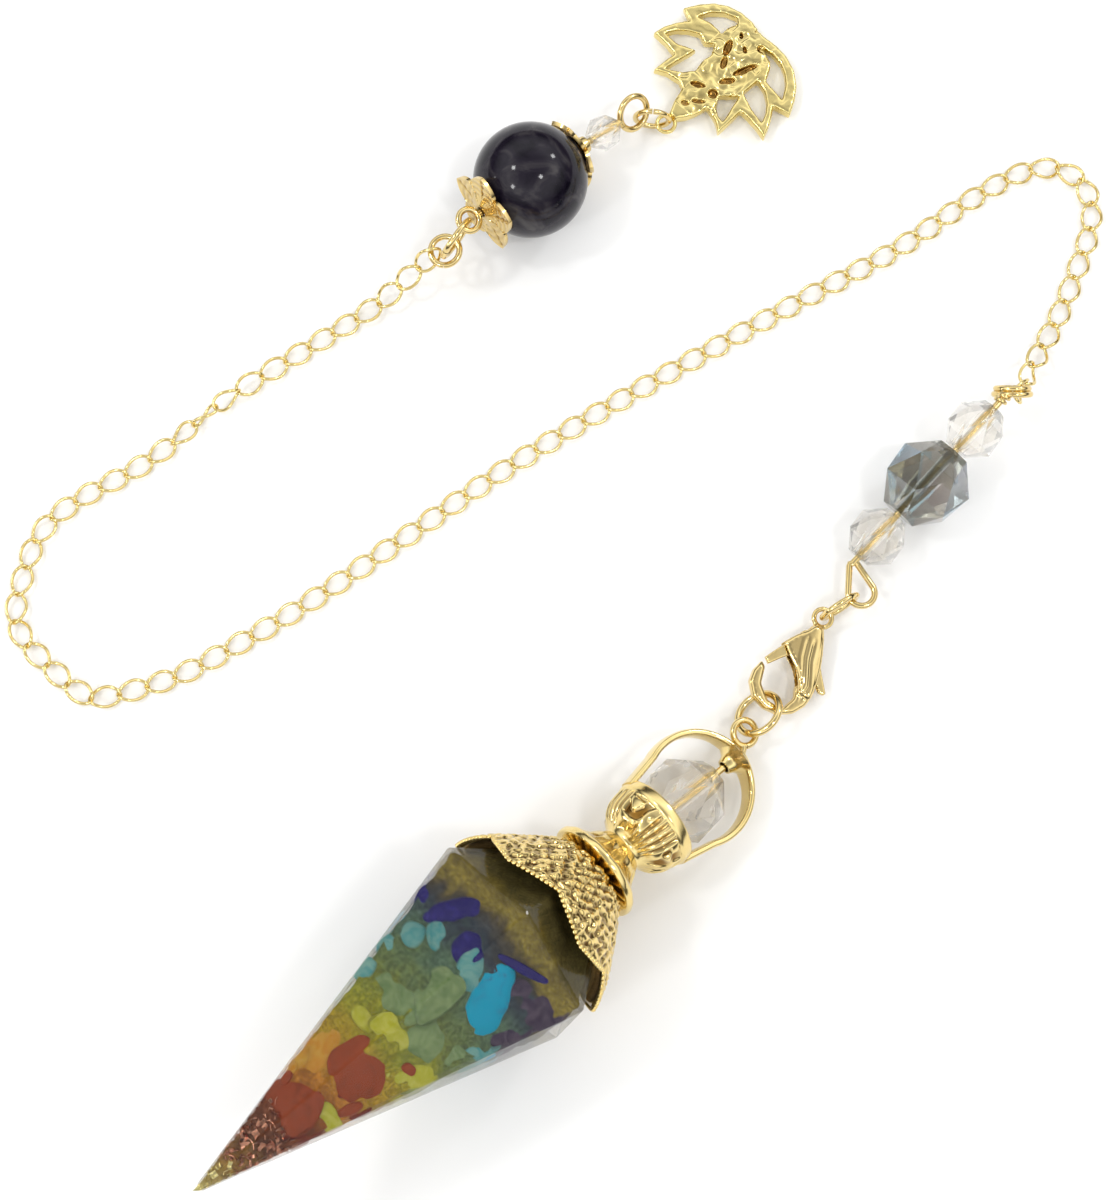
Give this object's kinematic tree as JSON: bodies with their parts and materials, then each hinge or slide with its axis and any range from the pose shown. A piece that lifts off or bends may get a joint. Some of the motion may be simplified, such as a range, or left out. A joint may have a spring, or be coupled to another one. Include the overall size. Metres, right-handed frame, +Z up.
{
  "type": "pendulum pendant",
  "caption": "Dowsing pendulum: a six-sided resin point in a filigree cap, an urn cup with a hoop, a lobster clasp, cut beads, a curb chain, a finger bead and a lotus charm.",
  "frame": {"origin": "under the middle of the bounding box, on the table that the pendulum lies on", "axes": "+Z up from the table, +Y up the picture, from the resin point's end to the charm's end, +X to the picture's right"},
  "size_m": [0.0954, 0.1036, 0.0181],
  "materials": {
    "chain_gold": "pale gold plate, bright",
    "chain_ring_gold": "pale gold plate, bright",
    "charm_ring_gold": "pale gold plate, bright",
    "clasp_gold": "pale gold plate, bright",
    "lever_gold": "pale gold plate, bright",
    "clear_bead_lower_glass": "cut and polished clear glass",
    "clear_bead_upper_glass": "cut and polished clear glass",
    "cup_gold": "pale gold plate, bright",
    "dark_stone": "polished dark stone, cloudy",
    "filigree_gold": "pale gold plate, bright",
    "cap_gold": "pale gold plate, bright",
    "finger_pin_gold": "pale gold plate, bright",
    "grey_crystal_glass": "cut and polished clear glass",
    "hoop_glass": "cut and polished clear glass",
    "pin_gold": "pale gold plate, bright",
    "link_ring_gold": "pale gold plate, bright",
    "charm_gold": "pale gold plate, bright",
    "pendant_ring_gold": "pale gold plate, bright",
    "smoky_resin": "polished clear resin, smoky, filled with stone chips, metal shavings and leaf",
    "small_glass": "cut and polished clear glass",
    "strand_gold": "pale gold plate, bright",
    "strand_ring_gold": "pale gold plate, bright"
  },
  "bodies": {
    "pendulum": {"chain": "chain_gold", "chain_ring": "chain_ring_gold", "charm_ring": "charm_ring_gold", "clasp_body": "clasp_gold", "clear_bead_lower": "clear_bead_lower_glass", "clear_bead_upper": "clear_bead_upper_glass", "cup_hoop": "cup_gold", "dark_bead": "dark_stone", "filigree_cap": "filigree_gold", "finger_cap_lower": "cap_gold", "finger_cap_upper": "cap_gold", "finger_pin": "finger_pin_gold", "grey_crystal": "grey_crystal_glass", "hoop_crystal": "hoop_glass", "hoop_pin": "pin_gold", "link_ring": "link_ring_gold", "lotus_charm": "charm_gold", "pendant_ring": "pendant_ring_gold", "resin_point": "smoky_resin", "small_bead": "small_glass", "strand_pin": "strand_gold", "strand_ring": "strand_ring_gold"},
    "lever": {"clasp_lever": "lever_gold"}
  },
  "joints": [
    {"name": "lever_hinge", "type": "hinge", "parent": "pendulum", "child": "lever", "pos_m": [0.02045, -0.00718, 0.00151], "axis": [0.1952, -0.0747, 0.9779], "range_deg": [0, 25], "stiffness_Nm_per_rad": 0.002, "springref_deg": -20.05}
  ]
}
